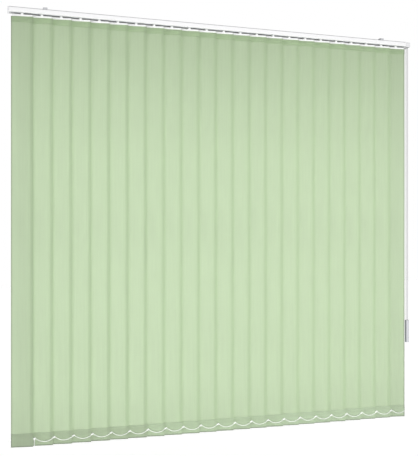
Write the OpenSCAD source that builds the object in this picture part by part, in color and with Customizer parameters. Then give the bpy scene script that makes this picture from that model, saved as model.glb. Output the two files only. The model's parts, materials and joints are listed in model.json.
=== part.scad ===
// Vertical blind: fabric slats on travelling carriers in a ceiling headrail.
// X runs along the headrail, -Y faces the room and Z = 0 is the ceiling.

/* [Slats] */
// Number of slats side by side
slat_count = 23; // [3:1:23]
// Width of one slat
slat_w = 89; // [80:1:110]
// Distance between neighbouring stems with the blind drawn across
slat_pitch = 79; // [60:1:95]
// Height of the fabric, from its top edge to its bottom fold
fabric_h = 1769; // [1500:1:2400]
// Thickness of one layer of fabric
fabric_t = 0.4; // [0.2:0.05:0.45]
// Angle between a closed slat and the headrail
closed_angle = 8; // [8:1:20]
// Height of the pocket round the hanger
pocket_h = 25; // [24:1:45]
// Height of the hem round the weight
hem_h = 55; // [46:1:80]
// Height over which a pocket's front layer is welded to the slat
weld_h = 4; // [2:0.5:6]

/* [Hangers and weights] */
// Length of the plate that spreads the top of a slat
hanger_w = 80; // [50:1:86]
// Thickness of the hanger plate
hanger_t = 0.9; // [0.6:0.05:1]
// Height of hanger that shows above the fabric
hanger_show = 7.5; // [2:0.5:8]
// Depth of hanger inside the pocket
hanger_in = 18; // [14:1:19]
// Width of the tongue that enters the stem
tongue_w = 10; // [8:0.5:12]
// Gap between the headrail and the hanger
hanger_gap = 4.5; // [4:0.5:15]
// Thickness of the bottom weight
weight_t = 0.8; // [0.5:0.05:0.9]
// Height of the bottom weight
weight_h = 36; // [30:1:40]
// Reach of the weight's chain tabs past the slat's edges
tab_reach = 7; // [5:0.5:10]
// Height of a chain tab
tab_h = 5; // [3:0.5:8]
// Diameter of the pin on a chain tab
tab_pin_d = 2; // [1.6:0.1:2]

/* [Linking chains] */
// Diameter of the chains that link the weights
link_chain_d = 3; // [1:0.1:3.2]
// Height of the chain's fixing points above the bottom fold
chain_rise = 36; // [30:1:40]
// Sag of the chain between two slats
chain_sag = 17; // [8:1:24]
// Length of the chain's loose end below the first fixing point
chain_tail = 32; // [10:1:32]

/* [Headrail] */
// Depth of the headrail from front to back
rail_d = 40; // [40:1:50]
// Height of the headrail
rail_h = 18; // [18:1:28]
// Wall thickness of the headrail
rail_wall = 1.2; // [1:0.1:1.4]
// Width of the slot along its underside
rail_slot_w = 26; // [14:1:26]
// Radius of its long outer corners
rail_corner_r = 2; // [0.5:0.5:3]
// Height of the two rails on its top that the brackets grip
lip_h = 3; // [2.5:0.5:4]
// Overhang of those rails
lip_reach = 1.8; // [1:0.2:2.4]
// Headrail past the edge of the first slat
lead_gap = 13.5; // [12:0.5:40]
// Headrail past the edge of the last slat
control_gap = 21.5; // [21.5:0.5:60]

/* [Brackets] */
// Distance from the ceiling to the top of the headrail
bracket_drop = 10; // [8:0.5:30]
// Width of a bracket along the headrail
bracket_w = 18; // [12:1:30]
// Sheet thickness of a bracket
bracket_t = 1.2; // [1:0.1:1.6]
// Distance from the end of the headrail to the middle of a bracket
bracket_inset = 150; // [60:5:300]
// Diameter of the ceiling screw hole
bracket_hole_d = 4.5; // [3.5:0.1:6]

/* [Carriers] */
// Length of a carrier along the headrail
carrier_l = 14; // [13:0.5:16]
// Gap between two carriers when they are stacked
stack_gap = 1; // [0.5:0.5:4]
// Diameter of a carrier wheel
wheel_d = 9.6; // [8:0.2:10]
// Width of a carrier wheel
wheel_w = 3.4; // [2.5:0.1:3.6]
// Diameter of a wheel axle
axle_d = 3; // [2:0.2:4]
// Thickness of a spacer strip
strip_t = 0.3; // [0.2:0.02:0.3]
// Width of a spacer strip
strip_w = 6; // [4:0.5:6]

/* [Tilt drive] */
// Diameter of the stem that carries a slat
stem_d = 6; // [5:0.2:6.2]
// Length of the fork at the foot of a stem
fork_l = 10; // [8:0.5:11]
// Thickness of that fork
fork_d = 7; // [6.4:0.2:7.8]
// Diameter of the pinion on a stem
pinion_d = 10; // [9:0.2:10.4]
// Height of the pinion
pinion_h = 5; // [4:0.5:5]
// Number of teeth on the pinion
pinion_teeth = 12; // [8:1:16]
// Diameter of the worm on the tilt rod
worm_d = 8; // [7.4:0.1:8]
// Width of the six-sided tilt rod across its corners
rod_d = 5; // [4:0.1:5]
// Diameter of the tilt chain
tilt_chain_d = 3; // [2.4:0.1:3.2]

/* [Draw cord] */
// Diameter of the draw cord
cord_d = 1.8; // [1.4:0.1:2]
// Diameter of the cord weight
cord_weight_d = 18; // [16:0.5:20]
// Length of the cord weight
cord_weight_l = 107; // [60:1:140]
// Diameter of the return pulley
pulley_d = 11.8; // [11.4:0.2:12]

/* [End caps] */
// Length of the control end past the headrail
control_l = 22; // [22:0.5:24]
// Thickness of the return end's plate
return_l = 6; // [3:0.5:10]
// Wall thickness of the end caps
cap_wall = 2; // [1.6:0.1:2.2]
// Amount by which the caps stand proud of the headrail
cap_proud = 0.8; // [0.2:0.1:2]

/* [Hidden] */
// Clearances: a slip fit, a running fit and a moving gap
fit = 0.1;
run_fit = 0.2;
run_gap = 0.3;
// Overshoot of a cut past the surface that it opens
cut = 1;

// Levels of the headrail
rail_top = -bracket_drop;
rail_bottom = rail_top - rail_h;
roof = rail_top - rail_wall;
ledge = rail_bottom + rail_wall;
rail_inside = rail_d / 2 - rail_wall;

// Places along the headrail
rail_len = (slat_count - 1) * slat_pitch + slat_w + lead_gap + control_gap;
left_end = -rail_len / 2;
right_end = rail_len / 2;
function stem_x(k) = left_end + lead_gap + slat_w / 2 + (k - 1) * slat_pitch;

// The two rails on top of the headrail stand in from its walls
lip_inset = 5;
lip_y = rail_inside - lip_inset;

// Carrier levels, from the ledge up
wheel_side_gap = 1;
wheel_z = ledge + run_gap + wheel_d / 2;
wheel_y = rail_inside - wheel_side_gap - wheel_w / 2;
truck_w = 2 * (wheel_y - wheel_w / 2 - run_gap);
truck_gap = 0.8;
truck_floor_t = 2.6;
truck_bottom = ledge + truck_gap;
truck_top = roof - truck_gap;
stem_floor = truck_bottom + truck_floor_t;
pinion_z = stem_floor + fit;

// Tilt rod beside the row of stems
worm_l = 10;
worm_bore_d = rod_d + 2 * run_gap;
rod_y = pinion_d / 2 + worm_d / 2 + run_gap;
rod_z = pinion_z + pinion_h / 2;
rod_bush_wall = 0.7;
rod_bush_d = rod_d + 2 * rod_bush_wall;
rod_bush_l = 8;
rod_end_gap = 1;

// Spacer strips lie on as many levels as overlap in the stack
stack_pitch = carrier_l + stack_gap;
stop_l = 2.5;
stop_in = 1;
strip_reach = slat_pitch + carrier_l / 2 - stop_in + run_gap + stop_l;
strip_ear_l = 3;
spare_levels = 2;
strip_levels = floor((strip_reach + strip_ear_l) / stack_pitch) + spare_levels;
strip_step = strip_t + fit;
stop_side = 1.2;
stop_w = strip_w + 2 * stop_side;
channel_w = stop_w + 2 * run_gap;
channel_h = strip_levels * strip_step + 2 * fit;
channel_bottom = truck_top - channel_h;
strip_ear_side = 1;
strip_ear_w = channel_w + 2 * strip_ear_side;
function strip_z(k) = channel_bottom + fit + (k % strip_levels) * strip_step;

// Draw cord: two strands one above the other, bends and guide posts
cord_y = -10;
cord_sides = 8;
strand_front = -7;
strand_back = -15;
bend_r = 4;
post_r = bend_r - cord_d / 2 - fit;
pulley_r = 5;
pulley_w = 4;
pulley_rim = 0.4;
pulley_side_gap = 1.2;
pulley_inset = 16;
pulley_x = left_end + pulley_inset;
pulley_z = rail_top - rail_h / 2;
cord_bore_gap = 0.4;
cord_bore_d = cord_d + 2 * cord_bore_gap;
upper_post = [right_end + strand_front - bend_r, pulley_z + pulley_r - bend_r];
lower_post = [right_end + strand_back - bend_r, pulley_z - pulley_r - bend_r];

// Control end and chain wheel
skirt = 4;
cap_bottom = rail_bottom - skirt;
cap_inside = rail_inside;
web_y = -2.5;
wheel_inset = 10;
wheel_x = right_end - wheel_inset;
chain_side_gap = 0.5;
chain_path_r = cap_inside - rod_y - tilt_chain_d / 2 - chain_side_gap;
groove_r = chain_path_r - tilt_chain_d / 2 - run_gap;
groove_flare = 0.3;
rim_rise = 0.7;
flange_t = 1.5;
chain_wheel_w = tilt_chain_d + 2 * flange_t;
hub_wall = 1.7;
hub_r = rod_d / 2 + hub_wall;
hub_l = 6;
socket_past_wheel = 1.2;
stub_r = 2;
stub_wall = 0.6;
stub_end_gap = 0.4;
bead_pockets = 10;
pocket_sink = 1;
plug_l = 10;
plug_wall = 2;
plug_roof_t = 1.2;
plug_y = rail_inside - fit;
plug_top = roof - fit;
plug_bottom = ledge + fit;
return_plug_l = 20;
bush_seat_wall = 1.5;

// Folded sheet of a bracket
release_l = 3;

// Slat levels and its two layers about the stem's plane
hanger_top = rail_bottom - hanger_gap;
fabric_top = hanger_top - hanger_show;
fabric_bottom = fabric_top - fabric_h;
layer_in = max(hanger_t, weight_t) / 2 + fit / 2;
layer_out = layer_in + fabric_t;
stem_gap = 0.5;
stem_roof_gap = 0.5;
tongue_gap = 0.4;
fork_roof_gap = 0.6;
stem_bottom = hanger_top + stem_gap;
fork_h = truck_bottom - fork_roof_gap - stem_bottom;
stem_slot_h = hanger_gap - stem_gap - stem_roof_gap;
cross_pin_d = 2;
cross_pin_inset = 0.6;
cross_pin_z = stem_bottom + stem_slot_h / 2;
tongue_top = stem_bottom + stem_slot_h - tongue_gap;
hanger_corner = 5;
weight_side_gap = 1.5;
weight_bottom = fabric_bottom + fabric_t + run_gap;
weight_w = slat_w - 2 * weight_side_gap;

// Chain eyelets hang on the tab pins, and the chain runs past them
eye_wall = 0.9;
eye_h = 1.6;
eye_gap = 0.4;
eye_in_r = tab_pin_d / 2 + run_gap;
eye_out_r = eye_in_r + eye_wall;
pin_head_h = 0.8;
tab_u = slat_w / 2 + tab_reach;
chain_z = fabric_bottom + chain_rise;
tab_top = chain_z - eye_h / 2 - eye_gap;
tab_pin_h = eye_h + 2 * eye_gap;
chain_y = tab_u * sin(closed_angle) + eye_out_r + link_chain_d / 2 + fit;
tail_x = link_chain_d - run_gap;
spans = 5;
link_sides = 6;

// Pinion and worm teeth: depth, and the shares of a tooth step where its flanks start and end
tooth_depth = 0.9;
tooth_flanks = [0.35, 0.5, 0.85];
thread_pitch = 2.5;
thread_depth = 0.7;
thread_flanks = [0.35, 0.65];

// Free cords: hand-chosen routes, measured from the headrail's top right end
loop_x = (strand_front + strand_back) / 2;
cord_weight_top = -1334;
loop_pin_drop = 18;
weight_edge_r = 2;
weight_bore_gap = 1.4;
weight_bore_below = 6;
draw_route = [
    [-7, -10, -22], [-7, -10, -60], [-7, -10, -240], [-7, -10, -440], [-7, -10, -640],
    [-7, -10, -840], [-7, -10, -1040], [-7, -10, -1240], [-7, -10, -1352], [-7.5, -10, -1354],
    [-9, -10, -1355.5], [-11, -10, -1356], [-13, -10, -1355.5], [-14.5, -10, -1354],
    [-15, -10, -1352], [-15, -10, -1240], [-15, -10, -1040], [-15, -10, -840], [-15, -10, -640],
    [-15, -10, -440], [-15, -10, -240], [-15, -10, -60], [-15, -10, -22]
];
chain_bottom = -1306;
chain_levels = [-60, -240, -440, -640, -840, -1040, -1240];

// Colours
white = [0.95, 0.95, 0.95];
milky = [0.88, 0.89, 0.88];
fabric_green = [0.79, 0.87, 0.72];
grey = [0.68, 0.68, 0.72];
steel = [0.75, 0.76, 0.78];

function two_digits(k) = k < 10 ? str("0", k) : str(k);
function carrier_name(k) = str("carrier_", two_digits(k));
function slat_name(k) = str("slat_", two_digits(k));

// Points of an arc about c, from angle a0 to a1 in n steps
function arc(c, r, a0, a1, n) =
    [for (i = [0 : n]) c + r * [cos(a0 + (a1 - a0) * i / n), sin(a0 + (a1 - a0) * i / n)]];

// Section with rounded corners, from the level top down to the level bottom
function rounded_section(d, top, bottom, r) = concat(
    arc([d / 2 - r, top - r], r, 0, 90, 3),
    arc([r - d / 2, top - r], r, 90, 180, 3),
    arc([r - d / 2, bottom + r], r, 180, 270, 3),
    arc([d / 2 - r, bottom + r], r, 270, 360, 3)
);

// Direction of a path at point i
function heading(path, i) =
    let(d = path[min(i + 1, len(path) - 1)] - path[max(i - 1, 0)]) d / norm(d);

// Ring of a tube round point i, side is the normal of the plane that the path lies in
function ring(path, i, r, sides, side) =
    let(up = cross(heading(path, i), side))
    [for (j = [0 : sides - 1]) path[i] + r * (cos(360 * j / sides) * side + sin(360 * j / sides) * up)];

// Tube along a path that lies in one plane
module tube(path, r, sides, side) {
    rings = len(path);
    points = [for (i = [0 : rings - 1]) each ring(path, i, r, sides, side)];
    walls = [
        for (i = [0 : rings - 2])
        for (j = [0 : sides - 1])
        let(a = i * sides + j, b = i * sides + (j + 1) % sides)
        each [[a, a + sides, b], [b, a + sides, b + sides]]
    ];
    first_cap = [for (j = [0 : sides - 1]) j];
    last_cap = [for (j = [sides - 1 : -1 : 0]) (rings - 1) * sides + j];
    polyhedron(points, concat(walls, [first_cap, last_cap]));
}

// Extrude a section drawn in Y and Z along X
module along_x(x, l) {
    translate([x, 0, 0])
        rotate([90, 0, 90])
            linear_extrude(l)
                children();
}

// Cylinder along X, from x onwards
module rod_x(x, y, z, r, l) {
    translate([x, y, z])
        rotate([0, 90, 0])
            cylinder(r = r, h = l, $fn = 48);
}

// Cylinder along Y, from y onwards
module rod_y_at(x, y, z, r, l) {
    translate([x, y, z])
        rotate([-90, 0, 0])
            cylinder(r = r, h = l, $fn = 48);
}

// One of the two rails on top of the headrail, seen in section
module lip(side) {
    over_z = rail_top + lip_h - rail_wall;
    scale([side, 1])
        union() {
            translate([lip_y - rail_wall, roof])
                square([rail_wall, lip_h + rail_wall]);
            translate([lip_y - rail_wall, over_z])
                square([rail_wall + lip_reach, rail_wall]);
        }
}

module headrail() {
    x0 = left_end + return_l;
    color(white)
        along_x(x0, rail_len - return_l - control_l) {
            difference() {
                polygon(rounded_section(rail_d, rail_top, rail_bottom, rail_corner_r));
                translate([-rail_inside, ledge])
                    square([2 * rail_inside, roof - ledge]);
                translate([-rail_slot_w / 2, rail_bottom - cut])
                    square([rail_slot_w, rail_wall + 2 * cut]);
            }
            lip(-1);
            lip(1);
        }
}

// Hollow tongue of an end cap that fits inside the headrail
module plug(x, l) {
    along_x(x, l)
        difference() {
            translate([-plug_y, plug_bottom])
                square([2 * plug_y, plug_top - plug_bottom]);
            translate([plug_wall - plug_y, plug_bottom - cut])
                square([2 * (plug_y - plug_wall), plug_top - plug_bottom - plug_roof_t + cut]);
        }
}

// Outer section of the end caps
module cap_section(bottom) {
    d = rail_d + 2 * cap_proud;
    polygon(rounded_section(d, rail_top + cap_proud, bottom, rail_corner_r + cap_proud));
}

// Housing at the control side: chain wheel behind, cord guides in front
module control_end() {
    x0 = right_end - control_l;
    inner_x = x0 + cap_wall;
    inner_l = control_l - 2 * cap_wall;
    stub_depth = cap_wall - stub_wall;
    color(white)
        difference() {
            union() {
                difference() {
                    along_x(x0, control_l)
                        cap_section(cap_bottom);
                    translate([inner_x, -cap_inside, cap_bottom - cut])
                        cube([inner_l, cap_inside + web_y, roof - cap_bottom + cut]);
                    translate([inner_x, web_y + cap_wall, cap_bottom - cut])
                        cube([inner_l, cap_inside - web_y - cap_wall, roof - cap_bottom + cut]);
                }
                plug(x0 - plug_l, plug_l + cut / 2);
                for (post = [upper_post, lower_post])
                    rod_y_at(post[0], -cap_inside - cut / 2, post[1], post_r, cap_inside + web_y + cut);
            }
            for (z = [pulley_z - pulley_r, pulley_z + pulley_r])
                rod_x(x0 - cut, cord_y, z, cord_bore_d / 2, cap_wall + 2 * cut);
            rod_x(x0 - cut, rod_y, rod_z, rod_d / 2 + run_gap, cap_wall + 2 * cut);
            rod_x(right_end - cap_wall - cut, rod_y, rod_z, stub_r + run_fit, stub_depth + cut);
        }
}

// Plate at the far end, with the axle of the return pulley and the bush of the tilt rod
module return_end() {
    plug_x = left_end + return_l;
    support_y = cord_y + pulley_w / 2 + pulley_side_gap;
    bush_bore = rod_bush_d / 2 + run_fit;
    color(white)
        difference() {
            union() {
                along_x(left_end, return_l)
                    cap_section(rail_bottom - cap_proud);
                plug(plug_x - cut / 2, return_plug_l + cut / 2);
                translate([plug_x - cut / 2, support_y, plug_bottom])
                    cube([return_plug_l + cut / 2, plug_wall, plug_top - plug_bottom]);
                rod_y_at(pulley_x, -plug_y + cut / 2, pulley_z, axle_d / 2, support_y + plug_y);
                rod_x(plug_x - cut / 2, rod_y, rod_z, bush_bore + bush_seat_wall, rod_bush_l + cut);
            }
            rod_x(plug_x, rod_y, rod_z, bush_bore, rod_bush_l + 2 * cut);
        }
}

// Spring clip of folded sheet that hooks under both rails of the headrail
module bracket(x) {
    grip = lip_y + lip_reach;
    hook_top = rail_top + lip_h - rail_wall - fit;
    hook_bottom = max(hook_top - bracket_t, rail_top + fit);
    leg_in = grip + run_fit;
    leg_out = leg_in + bracket_t;
    hook_in = lip_y + run_fit;
    color(steel)
        difference() {
            along_x(x - bracket_w / 2, bracket_w)
                polygon([
                    [leg_out, 0],
                    [leg_out, hook_bottom],
                    [hook_in, hook_bottom],
                    [hook_in, hook_top],
                    [leg_in, hook_top],
                    [leg_in, -bracket_t],
                    [-leg_in, -bracket_t],
                    [-leg_in, hook_top],
                    [-hook_in, hook_top],
                    [-hook_in, hook_bottom],
                    [-leg_out - release_l, hook_bottom],
                    [-leg_out - release_l, hook_top],
                    [-leg_out, hook_top],
                    [-leg_out, 0]
                ]);
            translate([x, 0, -bracket_t - cut])
                cylinder(d = bracket_hole_d, h = bracket_t + 2 * cut, $fn = 48);
        }
}

module left_bracket() {
    bracket(left_end + bracket_inset);
}

module right_bracket() {
    bracket(right_end - bracket_inset);
}

// Six-sided rod along the headrail, with the round bush that carries its far end
module tilt_rod() {
    x0 = left_end + return_l + rod_end_gap;
    l = wheel_x + rod_end_gap - x0;
    color(steel) {
        along_x(x0, l)
            translate([rod_y, rod_z])
                circle(d = rod_d, $fn = 6);
        difference() {
            rod_x(x0, rod_y, rod_z, rod_bush_d / 2, rod_bush_l);
            along_x(x0 - cut, rod_bush_l + 2 * cut)
                translate([rod_y, rod_z])
                    circle(d = rod_d + fit, $fn = 6);
        }
    }
}

// Grooved wheel with bead pockets, driven by the tilt chain
module chain_wheel() {
    rim_r = chain_path_r + rim_rise;
    half = chain_wheel_w / 2;
    groove = tilt_chain_d / 2 + run_gap;
    stub_l = wheel_inset - stub_wall - stub_end_gap - half;
    color(milky)
        difference() {
            translate([wheel_x, rod_y, rod_z])
                rotate([0, 90, 0])
                    difference() {
                        rotate_extrude($fn = 64)
                            polygon([
                                [0, -half - hub_l],
                                [hub_r, -half - hub_l],
                                [hub_r, -half],
                                [rim_r, -half],
                                [rim_r, -groove - groove_flare],
                                [groove_r, -groove],
                                [groove_r, groove],
                                [rim_r, groove + groove_flare],
                                [rim_r, half],
                                [stub_r, half],
                                [stub_r, half + stub_l],
                                [0, half + stub_l]
                            ]);
                        for (i = [0 : bead_pockets - 1])
                            rotate([0, 0, 360 * i / bead_pockets])
                                translate([groove_r + pocket_sink, 0, 0])
                                    sphere(d = tilt_chain_d + run_gap, $fn = 32);
                    }
            along_x(wheel_x - half - hub_l - cut, hub_l + half + cut + socket_past_wheel)
                translate([rod_y, rod_z])
                    circle(d = rod_d + fit, $fn = 6);
        }
}

// Grooved pulley that turns the draw cord back
module return_pulley() {
    groove_bottom = pulley_r - cord_d / 2 - fit;
    half = pulley_w / 2;
    color(milky)
        translate([pulley_x, cord_y, pulley_z])
            rotate([90, 0, 0])
                rotate_extrude($fn = 64)
                    polygon([
                        [axle_d / 2 + run_fit, -half],
                        [pulley_d / 2, -half],
                        [pulley_d / 2, pulley_rim - half],
                        [groove_bottom, -cord_d / 2],
                        [groove_bottom, cord_d / 2],
                        [pulley_d / 2, half - pulley_rim],
                        [pulley_d / 2, half],
                        [axle_d / 2 + run_fit, half]
                    ]);
}

// Draw cord inside the headrail, from one guide post round the pulley to the other
module draw_cord_run() {
    upper = pulley_z + pulley_r;
    lower = pulley_z - pulley_r;
    way = concat(
        [[upper_post[0] + bend_r, cap_bottom]],
        arc(upper_post, bend_r, 0, 90, 6),
        [[0, upper]],
        arc([pulley_x, pulley_z], pulley_r, 90, 270, 12),
        [[0, lower]],
        arc(lower_post, bend_r, 90, 0, 6),
        [[lower_post[0] + bend_r, cap_bottom]]
    );
    color(white)
        tube([for (p = way) [p[0], cord_y, p[1]]], cord_d / 2, cord_sides, [0, 1, 0]);
}

// Hanging loop of the draw cord
module draw_cord_drop() {
    color(white)
        translate([right_end, 0, rail_top])
            tube(draw_route, cord_d / 2, cord_sides, [0, 1, 0]);
}

// Slim weight that the loop of the draw cord carries on a pin
module cord_weight() {
    r = cord_weight_d / 2;
    bore_r = bend_r + cord_d / 2 + weight_bore_gap;
    bore_l = loop_pin_drop + bend_r + cord_d + weight_bore_below;
    bottom = -cord_weight_l;
    profile = concat(
        [[0, bottom]],
        arc([r - weight_edge_r, bottom + weight_edge_r], weight_edge_r, 270, 360, 6),
        arc([r - weight_edge_r, -weight_edge_r], weight_edge_r, 0, 90, 6),
        [[bore_r, 0], [bore_r, -bore_l], [0, -bore_l]]
    );
    color(grey)
        translate([right_end + loop_x, cord_y, rail_top + cord_weight_top]) {
            rotate_extrude($fn = 64)
                polygon(profile);
            rod_y_at(0, -bore_r - cut / 2, -loop_pin_drop, post_r, 2 * bore_r + cut);
        }
}

// Bead chain over its wheel, hanging in a loop behind the draw cord
module tilt_chain() {
    r = chain_path_r;
    bottom = rail_top + chain_bottom;
    way = concat(
        arc([rod_y, rod_z], r, 88, 0, 7),
        [for (z = chain_levels) [rod_y + r, rail_top + z]],
        arc([rod_y, bottom], r, 0, -180, 12),
        [for (i = [len(chain_levels) - 1 : -1 : 0]) [rod_y - r, rail_top + chain_levels[i]]],
        arc([rod_y, rod_z], r, 180, 92, 7)
    );
    color(white)
        tube([for (p = way) [wheel_x, p[0], p[1]]], tilt_chain_d / 2, cord_sides, [1, 0, 0]);
}

// Body of a carrier: strip channel on top, stem bearing below, worm at one side
module truck(k) {
    tab_x = stop_in - carrier_l / 2;
    bore_x = -carrier_l / 2 - cut;
    bore_l = carrier_l + 2 * cut;
    difference() {
        union() {
            difference() {
                translate([-carrier_l / 2, -truck_w / 2, truck_bottom])
                    cube([carrier_l, truck_w, truck_top - truck_bottom]);
                translate([bore_x, -channel_w / 2, channel_bottom])
                    cube([bore_l, channel_w, channel_h + cut]);
                if (k > 1)
                    translate([-strip_ear_l / 2 - fit, -strip_ear_w / 2 - fit, channel_bottom])
                        cube([strip_ear_l + 2 * fit, strip_ear_w + 2 * fit, channel_h + cut]);
            }
            if (k < slat_count)
                for (side = [0, 1])
                    mirror([0, side, 0])
                        translate([tab_x, strip_w / 2 + run_gap, strip_z(k + 1)])
                            cube([stop_in * 2, channel_w / 2 - strip_w / 2 - run_gap + cut, strip_t]);
            for (side = [0, 1])
                mirror([0, side, 0])
                    rod_y_at(0, truck_w / 2 - cut, wheel_z, axle_d / 2, wheel_w + run_gap + cut);
        }
        translate([0, 0, stem_floor])
            cylinder(r = pinion_d / 2 + run_gap, h = channel_bottom - stem_floor + fit / 2, $fn = 48);
        translate([0, 0, truck_bottom - cut])
            cylinder(r = stem_d / 2 + run_fit, h = stem_floor - truck_bottom + 2 * cut, $fn = 48);
        rod_x(-worm_l / 2 - run_gap, rod_y, rod_z, worm_d / 2 + run_gap, worm_l + 2 * run_gap);
        rod_x(bore_x, rod_y, rod_z, worm_bore_d / 2, bore_l);
        for (z = [pulley_z - pulley_r, pulley_z + pulley_r])
            rod_x(bore_x, cord_y, z, cord_bore_d / 2, bore_l);
    }
}

// Worm sleeve round the tilt rod, its thread drawn as ridges one tooth apart
module worm() {
    r = worm_d / 2;
    ridges = floor(worm_l / thread_pitch);
    translate([-worm_l / 2, rod_y, rod_z])
        rotate([0, 90, 0])
            rotate_extrude($fn = 48)
                polygon(concat(
                    [[worm_bore_d / 2, 0]],
                    [for (i = [0 : ridges - 1]) each [
                        [r - thread_depth, i * thread_pitch],
                        [r, (i + thread_flanks[0]) * thread_pitch],
                        [r, (i + thread_flanks[1]) * thread_pitch],
                        [r - thread_depth, (i + 1) * thread_pitch]
                    ]],
                    [[worm_bore_d / 2, ridges * thread_pitch]]
                ));
}

// Wheel of a carrier on its stub axle
module carrier_wheel(side) {
    inner_y = wheel_y - wheel_w / 2;
    mirror([0, side, 0])
        difference() {
            rod_y_at(0, inner_y, wheel_z, wheel_d / 2, wheel_w);
            rod_y_at(0, inner_y - cut, wheel_z, axle_d / 2 + run_fit, wheel_w + 2 * cut);
        }
}

// Flat strip that draws the carrier beside it along: ears in its own truck, a stop in the other
module spacer(k) {
    translate([0, 0, strip_z(k)])
        linear_extrude(strip_t)
            union() {
                translate([-strip_reach, -strip_w / 2])
                    square([strip_reach + strip_ear_l / 2, strip_w]);
                translate([-strip_reach, -stop_w / 2])
                    square([stop_l, stop_w]);
                translate([-strip_ear_l / 2, -strip_ear_w / 2])
                    square([strip_ear_l, strip_ear_w]);
            }
}

module carrier(k) {
    translate([stem_x(k), 0, 0]) {
        color(milky)
            truck(k);
        color(grey)
            for (side = [0, 1])
                carrier_wheel(side);
        color(white)
            worm();
        if (k > 1)
            color(steel)
                spacer(k);
    }
}

// Pinion outline, one flat-topped tooth per step
module pinion_outline() {
    tip_r = pinion_d / 2;
    root_r = tip_r - tooth_depth;
    step = 360 / pinion_teeth;
    polygon([
        for (i = [0 : pinion_teeth - 1])
        for (p = [
            [root_r, 0],
            [root_r, tooth_flanks[0]],
            [tip_r, tooth_flanks[1]],
            [tip_r, tooth_flanks[2]]
        ])
        p[0] * [cos((i + p[1]) * step), sin((i + p[1]) * step)]
    ]);
}

// Turning stem: pinion above, fork with a cross pin below
module stem() {
    fork_w = hanger_t + 2 * fit;
    fork_r = fork_d / 2;
    difference() {
        union() {
            translate([0, 0, pinion_z])
                linear_extrude(pinion_h)
                    pinion_outline();
            translate([0, 0, stem_bottom])
                cylinder(d = stem_d, h = pinion_z - stem_bottom + cut, $fn = 48);
            translate([0, 0, stem_bottom])
                linear_extrude(fork_h)
                    polygon(concat(
                        arc([fork_l / 2 - fork_r, 0], fork_r, -90, 90, 12),
                        arc([fork_r - fork_l / 2, 0], fork_r, 90, 270, 12)
                    ));
        }
        translate([-fork_l / 2 - cut, -fork_w / 2, stem_bottom - cut])
            cube([fork_l + 2 * cut, fork_w, stem_slot_h + cut]);
    }
    rod_y_at(0, cross_pin_inset - stem_d / 2, cross_pin_z, cross_pin_d / 2, stem_d - 2 * cross_pin_inset);
}

// Flat plate in the top pocket, with a drilled tongue for the stem's fork
module hanger() {
    foot = fabric_top - hanger_in;
    half = hanger_w / 2;
    window_w = half - tongue_w - hanger_corner;
    rotate([90, 0, 0])
        linear_extrude(hanger_t, center = true)
            difference() {
                union() {
                    polygon([
                        [-half, hanger_top],
                        [-half, foot + hanger_corner],
                        [hanger_corner - half, foot],
                        [half - hanger_corner, foot],
                        [half, foot + hanger_corner],
                        [half, hanger_top]
                    ]);
                    translate([-tongue_w / 2, hanger_top - cut])
                        square([tongue_w, tongue_top - hanger_top + cut]);
                }
                for (side = [-1, 1])
                    translate([side * (tongue_w + window_w / 2), foot + hanger_in / 2])
                        square([window_w, hanger_in / 3], center = true);
                translate([0, cross_pin_z])
                    circle(d = cross_pin_d + 2 * run_fit, $fn = 32);
            }
}

// Folded fabric strip: open pocket on top, flat single layer, closed hem below
module fabric() {
    pocket_foot = fabric_top - pocket_h;
    hem_top = fabric_bottom + hem_h;
    hem_weld = hem_top - weld_h;
    translate([-slat_w / 2, 0, 0])
        along_x(0, slat_w)
            difference() {
                polygon([
                    [layer_out, fabric_top],
                    [layer_out, fabric_bottom],
                    [-layer_out, fabric_bottom],
                    [-layer_out, hem_weld],
                    [layer_in, hem_top],
                    [layer_in, pocket_foot],
                    [-layer_out, pocket_foot + weld_h],
                    [-layer_out, fabric_top],
                    [-layer_in, fabric_top],
                    [-layer_in, pocket_foot + weld_h + fabric_t],
                    [layer_in, pocket_foot + fabric_t],
                    [layer_in, fabric_top]
                ]);
                polygon([
                    [layer_in, fabric_bottom + fabric_t],
                    [-layer_in, fabric_bottom + fabric_t],
                    [-layer_in, hem_weld - fabric_t],
                    [layer_in, hem_top - fabric_t]
                ]);
            }
}

// Flat weight in the hem, with a chain pin on a tab at each end
module bottom_weight() {
    rotate([90, 0, 0])
        linear_extrude(weight_t, center = true)
            union() {
                translate([-weight_w / 2, weight_bottom])
                    square([weight_w, weight_h]);
                translate([-tab_u, tab_top - tab_h])
                    square([2 * tab_u, tab_h]);
            }
    for (side = [-1, 1])
        translate([side * tab_u, 0, tab_top - tab_h]) {
            cylinder(d = tab_pin_d, h = tab_h + tab_pin_h, $fn = 32);
            translate([-tab_pin_d, -weight_t / 2, tab_h + tab_pin_h])
                cube([2 * tab_pin_d, weight_t, pin_head_h]);
        }
}

module slat(k) {
    translate([stem_x(k), 0, 0])
        rotate([0, 0, -closed_angle]) {
            color(white)
                stem();
            color(white)
                hanger();
            color(fabric_green)
                fabric();
            color(white)
                bottom_weight();
        }
}

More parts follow.
